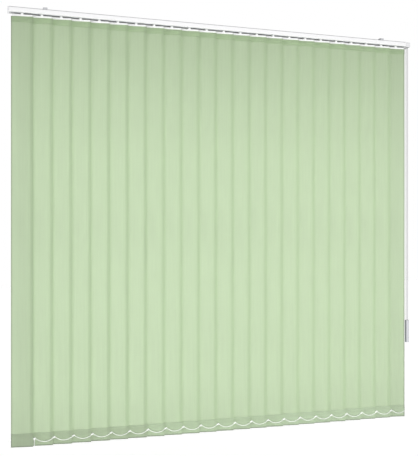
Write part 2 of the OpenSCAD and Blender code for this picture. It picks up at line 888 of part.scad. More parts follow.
// Linking chain along one edge of the slats: an eyelet on each pin, a sagging run between, a loose end
module linking_chain(side) {
    edge_x = side * tab_u * cos(closed_angle);
    edge_y = -side * tab_u * sin(closed_angle);
    way = [
        for (k = [1 : slat_count])
        for (i = [0 : (k < slat_count ? spans - 1 : 0)])
        let(s = i / spans)
        [stem_x(k) + edge_x + s * slat_pitch, -side * chain_y, chain_z - 4 * chain_sag * s * (1 - s)]
    ];
    color(white) {
        tube(way, link_chain_d / 2, link_sides, [0, 1, 0]);
        translate([stem_x(1) + edge_x - tail_x, -side * chain_y, chain_z - chain_tail])
            cylinder(d = link_chain_d, h = chain_tail, $fn = link_sides);
        for (k = [1 : slat_count])
            translate([stem_x(k) + edge_x, edge_y, chain_z - eye_h / 2])
                difference() {
                    cylinder(r = eye_out_r, h = eye_h, $fn = 32);
                    translate([0, 0, -cut])
                        cylinder(r = eye_in_r, h = eye_h + 2 * cut, $fn = 32);
                }
    }
}

module front_chain() {
    linking_chain(1);
}

module back_chain() {
    linking_chain(-1);
}

headrail();
control_end();
return_end();
left_bracket();
right_bracket();
tilt_rod();
chain_wheel();
return_pulley();
draw_cord_run();
draw_cord_drop();
cord_weight();
tilt_chain();
front_chain();
back_chain();
for (k = [1 : slat_count]) {
    carrier(k);
    slat(k);
}
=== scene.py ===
import json
import math

import bmesh
import bpy
import numpy as np
from mathutils import Matrix, Vector


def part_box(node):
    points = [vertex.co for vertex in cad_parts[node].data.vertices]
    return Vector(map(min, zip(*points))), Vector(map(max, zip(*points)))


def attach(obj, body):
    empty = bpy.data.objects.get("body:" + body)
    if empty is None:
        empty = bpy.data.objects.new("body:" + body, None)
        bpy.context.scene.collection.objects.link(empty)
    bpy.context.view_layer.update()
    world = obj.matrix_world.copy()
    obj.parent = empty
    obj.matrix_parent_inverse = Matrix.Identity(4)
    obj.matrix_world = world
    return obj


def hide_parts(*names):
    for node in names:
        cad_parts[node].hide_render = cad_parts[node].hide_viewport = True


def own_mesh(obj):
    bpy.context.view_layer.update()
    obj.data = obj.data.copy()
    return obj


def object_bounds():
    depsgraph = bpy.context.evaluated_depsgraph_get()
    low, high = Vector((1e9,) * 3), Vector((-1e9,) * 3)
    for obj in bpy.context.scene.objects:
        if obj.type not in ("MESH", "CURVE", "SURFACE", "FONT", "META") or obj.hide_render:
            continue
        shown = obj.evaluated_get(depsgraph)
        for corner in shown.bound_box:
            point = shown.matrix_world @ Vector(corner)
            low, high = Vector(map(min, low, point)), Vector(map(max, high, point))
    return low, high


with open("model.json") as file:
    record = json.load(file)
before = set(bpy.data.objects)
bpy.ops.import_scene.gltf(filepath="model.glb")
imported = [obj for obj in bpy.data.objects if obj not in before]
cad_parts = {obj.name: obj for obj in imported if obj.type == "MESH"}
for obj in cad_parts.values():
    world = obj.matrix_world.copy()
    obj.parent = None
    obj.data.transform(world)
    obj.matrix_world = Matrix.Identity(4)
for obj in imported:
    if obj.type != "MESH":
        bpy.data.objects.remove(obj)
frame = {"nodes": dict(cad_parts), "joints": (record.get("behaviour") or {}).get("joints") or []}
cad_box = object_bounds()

# The blind's sizes as in its solids, in metres, with a few angles, counts and shares among them
SLAT_W = 0.089
SLAT_PITCH = 0.079
CLOSED_ANGLE = math.radians(8)
FABRIC_H = 1.769
FABRIC_T = 0.0004
LAYER = 0.0007
POCKET_H = 0.025
HEM_H = 0.055
WELD_H = 0.004
HANGER_W = 0.080
HANGER_T = 0.0009
HANGER_GAP = 0.0045
HANGER_SHOW = 0.0075
HANGER_IN = 0.018
HANGER_CORNER = 0.005
TONGUE_W = 0.010
TONGUE_UP = 0.0036
TONGUE_HOLE_R = 0.0012
STEM_R = 0.003
STEM_FOOT = 0.0005
FORK_L = 0.010
FORK_D = 0.007
FORK_H = 0.0054
FORK_SLOT_W = 0.0011
FORK_SLOT_H = 0.0035
CROSS_PIN_R = 0.001
CROSS_PIN_REACH = 0.0024
PINION_R = 0.005
PINION_H = 0.005
PINION_UP = 0.0047
PINION_TEETH = 12
TOOTH_DEPTH = 0.0009
TOOTH_FLANKS = (0.35, 0.5, 0.85)
WEIGHT_W = 0.086
WEIGHT_H = 0.036
WEIGHT_T = 0.0008
WEIGHT_UP = 0.0007
TAB_U = 0.0515
TAB_H = 0.005
TAB_BELOW = 0.0012
PIN_R = 0.001
PIN_UP = 0.0024
PIN_HEAD_H = 0.0008
CHAIN_RISE = 0.036
CHAIN_SAG = 0.017
CHAIN_Y = 0.010967
CHAIN_TAIL = 0.032
CHAIN_TAIL_X = 0.0027
CORD_D = 0.0018
PULLEY_R = 0.005
POST_BEND_R = 0.004
RAIL_WALL = 0.0012
RAIL_H = 0.018

# Beads, their threads and the chains' clips, in metres, apart from the thread's share of a bead's radius
LINK_BEAD_R = 0.0015
LINK_STEP = 0.0038
CLIP_BEAD_R = 0.0019
CLIP_R = 0.0009
CLIP_GAP = 0.0001
TILT_BEAD_R = 0.0015
TILT_STEP = 0.0042
THREAD_SHARE = 0.36

# Places, worked out from the frame
joints = {j["name"]: j for j in frame["joints"]}
rail_low, rail_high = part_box("headrail")
rail_bottom = rail_low.z
rail_roof = rail_bottom + RAIL_H
hanger_top = rail_bottom - HANGER_GAP
fabric_top = hanger_top - HANGER_SHOW
fabric_bottom = fabric_top - FABRIC_H
pocket_foot = fabric_top - POCKET_H
hem_top = fabric_bottom + HEM_H
chain_z = fabric_bottom + CHAIN_RISE
slat_names = sorted(n for n in frame["nodes"] if n.startswith("slat_"))


def stem_place(slat):
    """Point on the stem's axis, at the ceiling's level."""
    joint = joints["tilt" if slat == slat_names[0] else slat + "_tilt"]
    return Vector((joint["pos_m"][0], joint["pos_m"][1], 0))


def slat_matrix(slat):
    """From a slat's own frame, with its width along X, to the row frame."""
    return Matrix.Translation(stem_place(slat)) @ Matrix.Rotation(-CLOSED_ANGLE, 4, "Z")


# Camera, at the photograph's viewing angle
FRAME_PX = (418, 456)
FOCAL_PX = 700.43
SENSOR_MM = 36
CAMERA_PLACE = (-0.9574, -2.975, -0.953)
CAMERA_LEVEL = math.radians(90)
CAMERA_TURN = math.radians(-16.563)
SHIFT_PX = 10.7


def make_camera():
    """Level camera, shifted instead of tilted, so that upright edges stay upright."""
    data = bpy.data.cameras.new("camera")
    data.sensor_width = SENSOR_MM
    data.lens = FOCAL_PX / max(FRAME_PX) * SENSOR_MM
    data.shift_y = SHIFT_PX / max(FRAME_PX)
    camera = bpy.data.objects.new("camera", data)
    camera.location = CAMERA_PLACE
    camera.rotation_euler = (CAMERA_LEVEL, 0, CAMERA_TURN)
    bpy.context.scene.collection.objects.link(camera)
    bpy.context.scene.camera = camera


make_camera()


# Short calls for shader nodes
def node(tree, kind, sockets=(), **settings):
    """Adds a node. sockets are (input, value) pairs, a value being plain or another node's output."""
    made = tree.nodes.new("ShaderNode" + kind)
    for name, value in settings.items():
        setattr(made, name, value)
    for socket, value in sockets:
        if isinstance(value, bpy.types.NodeSocket):
            tree.links.new(value, made.inputs[socket])
        else:
            made.inputs[socket].default_value = value
    return made


def calc(tree, operation, a, b=0.0):
    """Output of a Math node."""
    return node(tree, "Math", [(0, a), (1, b)], operation=operation).outputs[0]


def product(tree, first, *others):
    """Output of several values multiplied together."""
    total = first
    for other in others:
        total = calc(tree, "MULTIPLY", total, other)
    return total


def remap(tree, value, low, high, to_low, to_high):
    """Output of a clamped Map Range node."""
    sockets = [(0, value), (1, low), (2, high), (3, to_low), (4, to_high)]
    return node(tree, "MapRange", sockets).outputs[0]


def mixed(tree, share, one, two):
    """Output of a colour mix, share of two over one."""
    made = node(tree, "Mix", [(0, share), (6, one), (7, two)], data_type="RGBA")
    return made.outputs[2]


def own_place(tree):
    """X, Y and Z of a point in its piece's own frame, and the same as a vector."""
    vector = node(tree, "TexCoord").outputs["Object"]
    parts = node(tree, "SeparateXYZ", [(0, vector)])
    return parts.outputs[0], parts.outputs[1], parts.outputs[2], vector


def noise(tree, vector, scale, stretch=(1, 1, 1), detail=2.0):
    """Value of a noise texture with about scale changes in a metre, times stretch."""
    mapped = node(tree, "Mapping", [(0, vector), (3, stretch)]).outputs[0]
    return node(tree, "TexNoise", [("Vector", mapped), ("Scale", scale), ("Detail", detail)]).outputs[0]


def bump(tree, height, distance, strength):
    """Normal of a surface that is raised by height times distance, in metres."""
    sockets = [("Strength", strength), ("Distance", distance), ("Height", height)]
    return node(tree, "Bump", sockets).outputs[0]


def new_material(name):
    """An empty material and its node tree."""
    material = bpy.data.materials.new(name)
    material.use_nodes = True
    material.node_tree.nodes.clear()
    return material, material.node_tree


def finish_material(tree, shader):
    node(tree, "OutputMaterial", [("Surface", shader.outputs[0])])


# Spans of a noise value that are stretched to a full change
WIDE = (0.3, 0.7)
NARROW = (0.35, 0.65)

# Fabric, noises as scale, stretch and detail, tones as shares of the colour, reliefs as depth and strength
FABRIC_BACK = (0.663, 0.777, 0.569, 1)
FABRIC_THROUGH = (0.703, 0.777, 0.642, 1)
FABRIC_SHARE_THROUGH = 0.696
FABRIC_GLOSS = [
    ("Roughness", 0.85), ("Specular IOR Level", 0.25), ("Sheen Weight", 0.15), ("Sheen Roughness", 0.5)
]
FABRIC_RELIEF = (0.00012, 0.5)
STREAK = (420, (1, 1, 0.012), 3.0)
STREAK_TONE = (0.97, 1.01)
STREAK_RISE = 1.5
CLOUD = (9, (1, 1, 0.3), 2.0)
CLOUD_TONE = (-0.015, 0.015)
THREADS_PER_M = 900
WAVE_TURN = 20
WEAVE_DEEP = 0.3
WEAVE_TONE = 0.94
WELD_SHADE = 0.97
# Painted light: the pocket is lightened against the shade of its double layer and plate
POCKET_PAINTED_LIGHT = 1.03
# Painted shade over each slat's overlap, added to the real darkening of the double layer
OVERLAP_W = 0.012
OVERLAP_SOFT = 0.0015
# Painted light beside the overlaps, against the shadow of the neighbouring slat's edge
PAINTED_LIGHT_W = 0.020
PAINTED_LIGHT_LEFT = 1.03
PAINTED_LIGHT_RIGHT = 1.02
# Painted shade along the bottom fold, and the same darkening along the sealed edge
EDGE_W = 0.006
EDGE_SHADE = 0.76


def weave_height(tree, place):
    """Height of a plain weave. Blender's waves turn WAVE_TURN radians in a unit of their scale."""
    sockets = [("Vector", place), ("Scale", THREADS_PER_M * 2 * math.pi / WAVE_TURN)]
    warp = node(tree, "TexWave", sockets, bands_direction="X").outputs[1]
    weft = node(tree, "TexWave", sockets, bands_direction="Z").outputs[1]
    return calc(tree, "MAXIMUM", warp, weft)


def yarn_tone(tree, place, weave, streak):
    """Streaks of thicker yarn, cloudy patches and the dark gaps of the weave."""
    cloud = noise(tree, place, *CLOUD)
    yarn = remap(tree, streak, *WIDE, *STREAK_TONE)
    patch = remap(tree, cloud, *WIDE, *CLOUD_TONE)
    return product(tree, calc(tree, "ADD", yarn, patch), remap(tree, weave, WEAVE_DEEP, 1, WEAVE_TONE, 1))


def fold_tone(tree, z, shade):
    """A slat's shade, with the weld line of its hem and painted light that brightens its pocket."""
    from_weld = calc(tree, "ABSOLUTE", calc(tree, "SUBTRACT", z, hem_top - WELD_H / 2))
    weld = calc(tree, "LESS_THAN", from_weld, WELD_H / 2)
    slat = remap(tree, weld, 0, 1, shade, shade * WELD_SHADE)
    return product(tree, slat, remap(tree, z, pocket_foot, pocket_foot + WELD_H, 1, POCKET_PAINTED_LIGHT))


def painted_overlap_tone(tree, x, painted_overlap_shade):
    """Painted shade where a slat lies before the next one, and painted light a little way beside both
    overlaps.
    """
    inner = SLAT_W / 2 - OVERLAP_W
    # painted shade over the overlap, and painted light beside both overlaps
    overlap = remap(tree, x, inner - OVERLAP_SOFT, inner, 1, painted_overlap_shade)
    left = remap(tree, x, -inner, PAINTED_LIGHT_W - inner, PAINTED_LIGHT_LEFT, 1)
    right = remap(tree, x, inner - PAINTED_LIGHT_W, inner, 1, PAINTED_LIGHT_RIGHT)
    return product(tree, overlap, left, right)


def edge_tone(tree, x, z, sealed_side):
    """Painted shade along the bottom fold, and a darker edge on the sealed side."""
    from_edge = calc(tree, "SUBTRACT", z, fabric_bottom)
    if sealed_side:
        from_side = calc(tree, "SUBTRACT", SLAT_W / 2, calc(tree, "MULTIPLY", x, sealed_side))
        from_edge = calc(tree, "MINIMUM", from_edge, from_side)
    return remap(tree, from_edge, EDGE_W / 2, EDGE_W, EDGE_SHADE, 1)


def fabric_colour(tree, colour, hem_tint_and_painted_light, z, tone):
    """A colour times tone, and in the hem times the hem tint, which also paints light on the hem."""
    # the hem's tint is partly painted light that brightens the hem
    tinted = [a * b for a, b in zip(colour, hem_tint_and_painted_light)] + [1]
    local = mixed(tree, calc(tree, "LESS_THAN", z, hem_top), colour, tinted)
    return node(tree, "VectorMath", [(0, local), ("Scale", tone)], operation="SCALE").outputs[0]


def fabric_material(name, shade, painted_overlap_shade, hem_tint_and_painted_light, sealed_side):
    """Stiffened woven polyester that lets light through, shade times as bright.

    The right-hand margin, which overlaps the next slat, is painted shade, the overlap shade times as bright,
    and the hem's colour is multiplied by the hem tint, which also paints light on the hem. sealed_side is -1
    or 1 where the left or right edge is sealed, or 0.
    """
    material, tree = new_material(name)
    x, _, z, place = own_place(tree)
    weave = weave_height(tree, place)
    streak = noise(tree, place, *STREAK)
    tone = product(
        tree, yarn_tone(tree, place, weave, streak), fold_tone(tree, z, shade),
        painted_overlap_tone(tree, x, painted_overlap_shade), edge_tone(tree, x, z, sealed_side))
    rise = calc(tree, "ADD", weave, calc(tree, "MULTIPLY", streak, STREAK_RISE))
    relief = bump(tree, rise, *FABRIC_RELIEF)
    colour = fabric_colour(tree, FABRIC_BACK, hem_tint_and_painted_light, z, tone)
    back = node(tree, "BsdfPrincipled", FABRIC_GLOSS + [("Base Color", colour), ("Normal", relief)])
    colour = fabric_colour(tree, FABRIC_THROUGH, hem_tint_and_painted_light, z, tone)
    through = node(tree, "BsdfTranslucent", [("Color", colour), ("Normal", relief)])
    layers = [(0, FABRIC_SHARE_THROUGH), (1, back.outputs[0]), (2, through.outputs[0])]
    finish_material(tree, node(tree, "MixShader", layers))
    return material


# Plastics
FLOW = (35, (1, 1, 0.4))
GRAIN = 1500
BEAD_GRAIN = 2200
GRAIN_DETAIL = 3.0
GRAIN_RELIEF = (0.00003, 0.5)
DULLER = 0.08
GLOSSIER = 0.05


def plastic_material(name, colour, dark, roughness, grain=GRAIN):
    """Moulded plastic: a fine spark-eroded grain and faint flow marks between two near colours."""
    material, tree = new_material(name)
    place = own_place(tree)[3]
    fine = noise(tree, place, grain, detail=GRAIN_DETAIL)
    flow = noise(tree, place, *FLOW)
    finish_material(tree, node(tree, "BsdfPrincipled", [
        ("Base Color", mixed(tree, remap(tree, flow, *NARROW, 0, 1), colour, dark)),
        ("Roughness", remap(tree, fine, *WIDE, roughness - GLOSSIER, roughness + DULLER)),
        ("Normal", bump(tree, fine, *GRAIN_RELIEF))]))
    return material


# Headrail
RAIL_WHITE = (0.78, 0.78, 0.785, 1)
RAIL_SHADE = (0.75, 0.75, 0.755, 1)
# Painted shade: grey top rails, for the shade along the rail's top edge
RAIL_TOP_PAINTED_SHADE = (0.58, 0.58, 0.59, 1)
# Painted shade: darker grey inside the channel, for the shade under the rail
RAIL_INSIDE_PAINTED_SHADE = (0.50, 0.50, 0.505, 1)
RAIL_SKIN = RAIL_WALL * 0.9
RAIL_HAIR = RAIL_WALL * 0.05
RAIL_ROUGHNESS = (0.38, 0.52)
RAIL_RELIEF = (0.00004, 0.4)
PEEL_PER_M = 1100
DIE_LINES = (700, (0.01, 1, 1), 3.0)


def rail_material():
    """Powder coat on the outside, with painted shade: grey on the top rails and darker grey inside the
    channel.
    """
    material, tree = new_material("rail_powder_coat")
    _, y, z, place = own_place(tree)
    peel = noise(tree, place, PEEL_PER_M)
    between_walls = calc(tree, "LESS_THAN", calc(tree, "ABSOLUTE", y), rail_high.y - RAIL_SKIN)
    above_ledge = calc(tree, "GREATER_THAN", z, rail_bottom + RAIL_HAIR)
    under_roof = calc(tree, "LESS_THAN", z, rail_roof - RAIL_SKIN)
    # painted shade: the faces inside the channel are coloured darker for the shade in the rail's slot
    inside = product(tree, between_walls, above_ledge, under_roof)
    # painted shade: the top rails are coloured grey for the shade along the top edge
    top = calc(tree, "GREATER_THAN", z, rail_roof + RAIL_HAIR)
    coat = mixed(tree, remap(tree, peel, *NARROW, 0, 1), RAIL_WHITE, RAIL_SHADE)
    outside = mixed(tree, top, coat, RAIL_TOP_PAINTED_SHADE)
    height = calc(tree, "ADD", peel, noise(tree, place, *DIE_LINES))
    finish_material(tree, node(tree, "BsdfPrincipled", [
        ("Base Color", mixed(tree, inside, outside, RAIL_INSIDE_PAINTED_SHADE)),
        ("Roughness", remap(tree, peel, *WIDE, *RAIL_ROUGHNESS)),
        ("Normal", bump(tree, height, *RAIL_RELIEF))]))
    return material


# Brackets and tilt rod
STEEL_PALE = (0.62, 0.63, 0.65, 1)
STEEL_DARK = (0.52, 0.53, 0.55, 1)
STEEL_ROUGHNESS = (0.28, 0.42)
STEEL_RELIEF = (0.00003, 0.4)
ROLLING_LINES = (900, (0.03, 1, 1), 4.0)
BLOOM_PER_M = 120


def steel_material():
    """Zinc-plated spring steel, with fine rolling lines."""
    material, tree = new_material("clip_steel")
    place = own_place(tree)[3]
    lines = noise(tree, place, *ROLLING_LINES)
    bloom = noise(tree, place, BLOOM_PER_M)
    finish_material(tree, node(tree, "BsdfPrincipled", [
        ("Base Color", mixed(tree, remap(tree, bloom, *NARROW, 0, 1), STEEL_PALE, STEEL_DARK)),
        ("Metallic", 1.0),
        ("Roughness", remap(tree, lines, *WIDE, *STEEL_ROUGHNESS)),
        ("Normal", bump(tree, lines, *STEEL_RELIEF))]))
    return material


# Draw cord
BRAID_TURN = 2800
BRAID_GAP = -0.4
BRAID_DARK = (0.07, 0.07, 0.075, 1)
BRAID_PALE = (0.14, 0.14, 0.145, 1)
BRAID_GLOSS = [("Roughness", 0.75), ("Sheen Weight", 0.2)]
BRAID_RELIEF = (0.00012, 0.6)


def cord_material():
    """Braided polyester cord: two sets of strands wound against each other."""
    material, tree = new_material("cord_braid")
    x, y, z, _ = own_place(tree)
    around = calc(tree, "MULTIPLY", calc(tree, "ADD", x, y), BRAID_TURN)
    along = calc(tree, "MULTIPLY", z, BRAID_TURN)
    one = calc(tree, "SINE", calc(tree, "ADD", along, around))
    two = calc(tree, "SINE", calc(tree, "SUBTRACT", along, around))
    braid = calc(tree, "MAXIMUM", one, two)
    colour = mixed(tree, remap(tree, braid, BRAID_GAP, 1, 0, 1), BRAID_DARK, BRAID_PALE)
    relief = bump(tree, braid, *BRAID_RELIEF)
    sockets = BRAID_GLOSS + [("Base Color", colour), ("Normal", relief)]
    finish_material(tree, node(tree, "BsdfPrincipled", sockets))
    return material


# Cord weight
WEIGHT_LIGHT = (0.42, 0.425, 0.45, 1)
# Painted shade: the dark half of the weight stands for its shaded side
WEIGHT_PAINTED_SHADE = (0.11, 0.12, 0.135, 1)
WEIGHT_ROUGHNESS = (0.28, 0.38)
SEAM_COLOUR = (0.05, 0.05, 0.055, 1)
SEAM_SHARE = 0.7
SEAM_DEPTH = 8
SHADE_EDGE_TURN = math.radians(-33)
SHADE_EDGE_OFFSET = -0.003
SEAM_W = 0.0005


def cord_weight_material(middle):
    """Moulded weight with painted shade: a dark half that stands for its shaded side and a pale half, with a
    dark seam line between them by its axis.
    """
    material, tree = new_material("cord_weight_painted_shade")
    x, y, _, place = own_place(tree)
    fine = noise(tree, place, GRAIN, detail=GRAIN_DETAIL)
    from_x = calc(tree, "MULTIPLY", calc(tree, "SUBTRACT", x, middle.x), math.cos(SHADE_EDGE_TURN))
    from_y = calc(tree, "MULTIPLY", calc(tree, "SUBTRACT", y, middle.y), math.sin(SHADE_EDGE_TURN))
    from_shade_edge = calc(tree, "SUBTRACT", calc(tree, "ADD", from_x, from_y), SHADE_EDGE_OFFSET)
    # painted shade: one side of this line is coloured dark for the weight's shaded side
    pale = calc(tree, "GREATER_THAN", from_shade_edge, 0)
    seam = calc(tree, "LESS_THAN", calc(tree, "ABSOLUTE", from_shade_edge), SEAM_W / 2)
    painted_shading = mixed(tree, pale, WEIGHT_PAINTED_SHADE, WEIGHT_LIGHT)
    height = calc(tree, "SUBTRACT", fine, calc(tree, "MULTIPLY", seam, SEAM_DEPTH))
    finish_material(tree, node(tree, "BsdfPrincipled", [
        ("Base Color", mixed(tree, calc(tree, "MULTIPLY", seam, SEAM_SHARE), painted_shading, SEAM_COLOUR)),
        ("Roughness", remap(tree, fine, *WIDE, *WEIGHT_ROUGHNESS)),
        ("Normal", bump(tree, height, *GRAIN_RELIEF))]))
    return material


# Materials, fabrics as shade (painted shade on the end slats), overlap's painted shade, hem's tint with
# painted light, and sealed side
FABRICS = {
    "left": (0.99, 0.945, (1.015, 0.99, 1.035), 0),
    "middle": (0.985, 0.97, (1.07, 1.045, 1.10), 0),
    "right": (0.985, 0.985, (1.085, 1.055, 1.125), 0),
    # Painted shade: the first and last slats have a lower shade, for the light falling off at the blind's
    # ends
    "first": (0.945, 0.95, (0.995, 0.97, 1.015), -1),
    "last": (0.96, 1.0, (1.07, 1.04, 1.105), 1)
}
fabrics = {name: fabric_material("slat_fabric_" + name, *values) for name, values in FABRICS.items()}
rail_coat = rail_material()
white_plastic = plastic_material("white_plastic", (0.93, 0.935, 0.93, 1), (0.90, 0.905, 0.90, 1), 0.35)
cap_plastic = plastic_material("cap_plastic", (0.68, 0.68, 0.69, 1), (0.64, 0.64, 0.65, 1), 0.4)
# Carriers: grey plastic, made darker as partly painted shade for the shade inside the rail's channel
carrier_plastic_painted_shade = plastic_material("carrier_plastic_painted_shade", (0.47, 0.47, 0.48, 1), (0.43, 0.43, 0.44, 1), 0.4)
bead_plastic = plastic_material("bead_plastic", (0.88, 0.89, 0.88, 1), (0.84, 0.85, 0.84, 1), 0.3, BEAD_GRAIN)
clip_steel = steel_material()
cord_braid = cord_material()

# Meshes
SHARP = math.radians(40)
BEVEL_ROUNDNESS = 1
ROUND_SIDES = 16
CORD_SIDES = 12
THREAD_SIDES = 6
BEAD_SEGMENTS = 10
BEAD_RINGS = 6
ACROSS_CORDS = (0.3, 0.9, 0.31)


def add_piece(name, vertices, faces, material, matrix=None):
    """A mesh piece with smooth faces and sharp corners."""
    mesh = bpy.data.meshes.new(name)
    mesh.from_pydata([tuple(v) for v in vertices], [], [tuple(f) for f in faces])
    mesh.validate()
    piece = bpy.data.objects.new(name, mesh)
    bpy.context.scene.collection.objects.link(piece)
    if matrix is not None:
        piece.matrix_world = matrix
    mesh.materials.append(material)
    soften(mesh)
    return piece


def soften(mesh):
    """Shades a mesh smooth, apart from corners sharper than SHARP, with its faces outwards."""
    work = bmesh.new()
    work.from_mesh(mesh)
    bmesh.ops.recalc_face_normals(work, faces=work.faces)
    for face in work.faces:
        face.smooth = True
    for edge in work.edges:
        edge.smooth = len(edge.link_faces) == 2 and edge.calc_face_angle() < SHARP
    work.to_mesh(mesh)
    work.free()


class Build:
    """Vertices and faces of several shapes in one mesh."""

    def __init__(self):
        self.vertices = []
        self.faces = []

    def add(self, vertices, faces):
        start = len(self.vertices)
        self.vertices.extend(tuple(v) for v in vertices)
        self.faces.extend([start + i for i in f] for f in faces)

    def add_upright(self, outlines, low, high, bevel):
        """Adds outlines drawn in X and Y, from the level low up to high."""
        vertices, faces = prism(outlines, high - low, bevel)
        middle = (low + high) / 2
        self.add([(x, y, z + middle) for x, y, z in vertices], faces)

    def piece(self, name, material, matrix=None):
        return add_piece(name, self.vertices, self.faces, material, matrix)


def outline_curve(outlines, depth, bevel):
    """Filled curve of flat outlines, holes among them, with bevelled edges."""
    curve = bpy.data.curves.new("outline", "CURVE")
    curve.dimensions = "2D"
    curve.fill_mode = "BOTH"
    curve.bevel_depth = bevel
    curve.bevel_resolution = BEVEL_ROUNDNESS
    curve.offset = -bevel
    curve.extrude = depth / 2 - bevel
    for outline in outlines:
        spline = curve.splines.new("POLY")
        spline.points.add(len(outline) - 1)
        spline.use_cyclic_u = True
        for point, (x, y) in zip(spline.points, outline):
            point.co = (x, y, 0, 1)
    return curve


def prism(outlines, depth, bevel):
    """Flat outlines, holes among them, drawn out evenly to both sides of Z = 0 with bevelled edges."""
    curve = outline_curve(outlines, depth, bevel)
    drawn = bpy.data.objects.new("outline", curve)
    mesh = bpy.data.meshes.new_from_object(drawn)
    vertices = [tuple(v.co) for v in mesh.vertices]
    faces = [tuple(p.vertices) for p in mesh.polygons]
    bpy.data.meshes.remove(mesh)
    bpy.data.objects.remove(drawn)
    bpy.data.curves.remove(curve)
    return vertices, faces


def stood_up(vertices):
    """An outline drawn in X and Y, stood up so that its Y is Z and its depth is Y."""
    return [(x, -z, y) for x, y, z in vertices]


def circle(cx, cy, radius, count):
    """Points round a circle."""
    turns = [2 * math.pi * i / count for i in range(count)]
    return [(cx + radius * math.cos(a), cy + radius * math.sin(a)) for a in turns]


def box_outline(x0, x1, y0, y1):
    return [(x0, y0), (x1, y0), (x1, y1), (x0, y1)]


def arc(cx, cy, radius, start, end, steps):
    """Points of an arc from start to end, in degrees."""
    angles = [math.radians(start + (end - start) * i / steps) for i in range(steps + 1)]
    return [(cx + radius * math.cos(a), cy + radius * math.sin(a)) for a in angles]


def directions(line):
    """Unit vectors along a line of points."""
    ahead = np.gradient(line, axis=0)
    return ahead / np.linalg.norm(ahead, axis=1)[:, None]


def tube(path, radius, sides):
    """Closed tube along a path of points."""
    line = np.array(path, float)
    ahead = directions(line)
    side = np.cross(ahead[0], ACROSS_CORDS)
    vertices = []
    for point, direction in zip(line, ahead):
        side = side - direction * (side @ direction)
        side = side / np.linalg.norm(side)
        up = np.cross(direction, side)
        for x, y in circle(0, 0, radius, sides):
            vertices.append(point + x * side + y * up)
    faces = []
    for i in range(len(line) - 1):
        for j in range(sides):
            a = i * sides + j
            b = i * sides + (j + 1) % sides
            faces.append((a, b, b + sides, a + sides))
    faces.append(tuple(range(sides))[::-1])
    faces.append(tuple((len(line) - 1) * sides + i for i in range(sides)))
    return vertices, faces


def spaced(path, step):
    """The path again, with points about step apart."""
    line = np.array(path, float)
    along = np.concatenate([[0], np.cumsum(np.linalg.norm(np.diff(line, axis=0), axis=1))])
    at = np.linspace(0, along[-1], max(2, round(along[-1] / step) + 1))
    return np.stack([np.interp(at, along, line[:, k]) for k in range(3)], axis=1)


def bead(centre, radius):
    """A small round bead."""
    cx, cy, cz = centre
    vertices = [(cx, cy, cz + radius)]
    for i in range(1, BEAD_RINGS):
        polar = math.pi * i / BEAD_RINGS
        ring = circle(cx, cy, radius * math.sin(polar), BEAD_SEGMENTS)
        vertices.extend((x, y, cz + radius * math.cos(polar)) for x, y in ring)
    vertices.append((cx, cy, cz - radius))
    faces = []
    bottom = len(vertices) - 1
    for j in range(BEAD_SEGMENTS):
        after = (j + 1) % BEAD_SEGMENTS
        faces.append((0, 1 + j, 1 + after))
        for i in range(BEAD_RINGS - 2):
            row = 1 + i * BEAD_SEGMENTS
            faces.append((row + j, row + BEAD_SEGMENTS + j, row + BEAD_SEGMENTS + after, row + after))
        row = 1 + (BEAD_RINGS - 2) * BEAD_SEGMENTS
        faces.append((row + j, bottom, row + after))
    return vertices, faces


def add_beads(build, path, radius, step):
    """Beads along a path, with the thin thread that joins them."""
    for centre in spaced(path, step):
        build.add(*bead(centre, radius))
    build.add(*tube(spaced(path, step / 2), radius * THREAD_SHARE, THREAD_SIDES))


# Cords
rail_corner = Vector((cad_box[1].x, 0, rail_roof))
STRAND_FRONT = -0.007
STRAND_BACK = -0.015
CORD_Y = -0.010
DRAW_ROUTE = [
    (-0.007, -0.010, -0.022), (-0.007, -0.010, -0.060), (-0.007, -0.010, -0.240), (-0.007, -0.010, -0.440),
    (-0.007, -0.010, -0.640), (-0.007, -0.010, -0.840), (-0.007, -0.010, -1.040), (-0.007, -0.010, -1.240),
    (-0.007, -0.010, -1.352), (-0.0075, -0.010, -1.354), (-0.009, -0.010, -1.3555), (-0.011, -0.010, -1.356),
    (-0.013, -0.010, -1.3555), (-0.0145, -0.010, -1.354), (-0.015, -0.010, -1.352), (-0.015, -0.010, -1.240),
    (-0.015, -0.010, -1.040), (-0.015, -0.010, -0.840), (-0.015, -0.010, -0.640), (-0.015, -0.010, -0.440),
    (-0.015, -0.010, -0.240), (-0.015, -0.010, -0.060), (-0.015, -0.010, -0.022)
]
CORD_STEP = 0.0035
POST_STEPS = 12
PULLEY_STEPS = 24
CHAIN_LEVELS = (-0.060, -0.240, -0.440, -0.640, -0.840, -1.040, -1.240)
CHAIN_BOTTOM = -1.306
CHAIN_PATH_R = 0.0075
CHAIN_PARTING = 2
WHEEL_INSET = 0.010
WHEEL_STEPS = 7
LOOP_STEPS = 12


def draw_cord_drop():
    """Hanging loop of the draw cord, with the weight on it."""
    line = [tuple(p) for p in spaced([rail_corner + Vector(p) for p in DRAW_ROUTE], CORD_STEP)]
    cord = add_piece("draw_cord", *tube(line, CORD_D / 2, CORD_SIDES), cord_braid)
    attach(cord, "headrail")
    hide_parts("draw_cord_drop")


